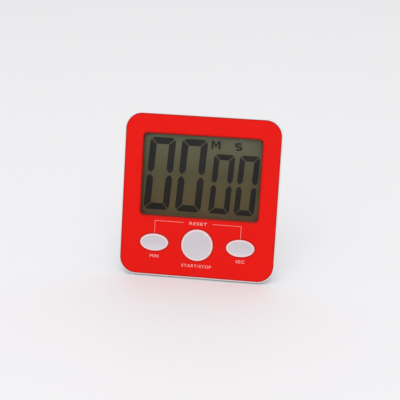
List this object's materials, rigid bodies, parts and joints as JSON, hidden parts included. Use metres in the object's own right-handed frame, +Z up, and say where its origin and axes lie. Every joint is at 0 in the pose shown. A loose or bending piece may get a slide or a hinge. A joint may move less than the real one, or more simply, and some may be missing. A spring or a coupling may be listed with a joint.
{
  "type": "digital kitchen timer",
  "caption": "Square digital kitchen timer with a large display, push buttons, a rear battery door, back magnets and a fold-out stand.",
  "frame": {"origin": "on the table plane, under the middle of the standing timer's bounding box", "axes": "+X to the right as the display is read, -Y towards the reader, +Z up; the body leans back about X by 15 degrees and the stand is open"},
  "size_m": [0.0812, 0.0402, 0.0827],
  "materials": {
    "white_case": "fine satin moulded ABS",
    "red_plate": "satin-gloss printed plastic plate",
    "pale_button": "smooth satin moulded caps",
    "clear_lens": "clear polished plastic window",
    "display_glass": "reflective liquid-crystal cell, olive grey",
    "foam": "thin closed-cell foam sheet",
    "connector_rubber": "layered silicone strip",
    "black_plastic": "moulded or epoxy black",
    "green_board": "solder-masked glass-epoxy",
    "steel": "plated steel",
    "brass": "rolled brass disc",
    "ceramic": "matt fired ceramic",
    "copper": "varnished copper winding",
    "cell_jacket": "printed shrink jacket without text",
    "red_wire": "PVC wire",
    "black_wire": "PVC wire"
  },
  "bodies": {
    "case": {"front_housing": "white_case", "face_plate": "red_plate", "display_window": "clear_lens", "display_panel": "display_glass", "display_backing": "foam", "connector_strip": "connector_rubber", "connector_holder": "black_plastic", "circuit_board": "green_board", "start_stop_switch": "steel", "minute_switch": "steel", "second_switch": "steel", "chip_cover": "black_plastic", "quartz_crystal": "steel", "sounder_coil": "copper", "supply_capacitor": "black_plastic", "driver_transistor": "black_plastic", "bias_resistor": "ceramic", "sounder_resistor": "ceramic", "board_screw_1": "steel", "board_screw_2": "steel", "board_screw_3": "steel", "board_screw_4": "steel", "back_cover": "white_case", "battery_cell": "cell_jacket", "battery_spring": "steel", "positive_contact": "steel", "positive_wire": "red_wire", "negative_wire": "black_wire", "sounder_disc": "brass", "sounder_ceramic": "ceramic", "sounder_signal_wire": "red_wire", "sounder_return_wire": "black_wire", "magnet_left": "steel", "magnet_right": "steel", "case_screw_1": "steel", "case_screw_2": "steel", "case_screw_3": "steel", "case_screw_4": "steel"},
    "start_stop": {"start_stop_button": "pale_button", "start_stop_plunger": "black_plastic"},
    "minute": {"minute_button": "pale_button", "minute_plunger": "black_plastic"},
    "second": {"second_button": "pale_button", "second_plunger": "black_plastic"},
    "stand": {"stand_leg": "white_case"},
    "battery_lid": {"battery_door": "white_case"}
  },
  "joints": [
    {"name": "start_stop_press", "type": "slide", "parent": "case", "child": "start_stop", "axis": [0, 0.9659, -0.2588], "range_m": [0, 0.0005], "stiffness_N_per_m": 1500, "springref_m": -0.0002},
    {"name": "minute_press", "type": "slide", "parent": "case", "child": "minute", "axis": [0, 0.9659, -0.2588], "range_m": [0, 0.0005], "stiffness_N_per_m": 1500, "springref_m": -0.0002},
    {"name": "second_press", "type": "slide", "parent": "case", "child": "second", "axis": [0, 0.9659, -0.2588], "range_m": [0, 0.0005], "stiffness_N_per_m": 1500, "springref_m": -0.0002},
    {"name": "stand_fold", "type": "hinge", "parent": "case", "child": "stand", "pos_m": [0, 0.01132, 0.04672], "axis": [1, 0, 0], "range_deg": [-24, 0]},
    {"name": "battery_door_tilt", "type": "hinge", "parent": "case", "child": "battery_lid", "pos_m": [0, 0.01427, 0.05214], "axis": [-1, 0, 0], "range_deg": [0, 50]}
  ]
}
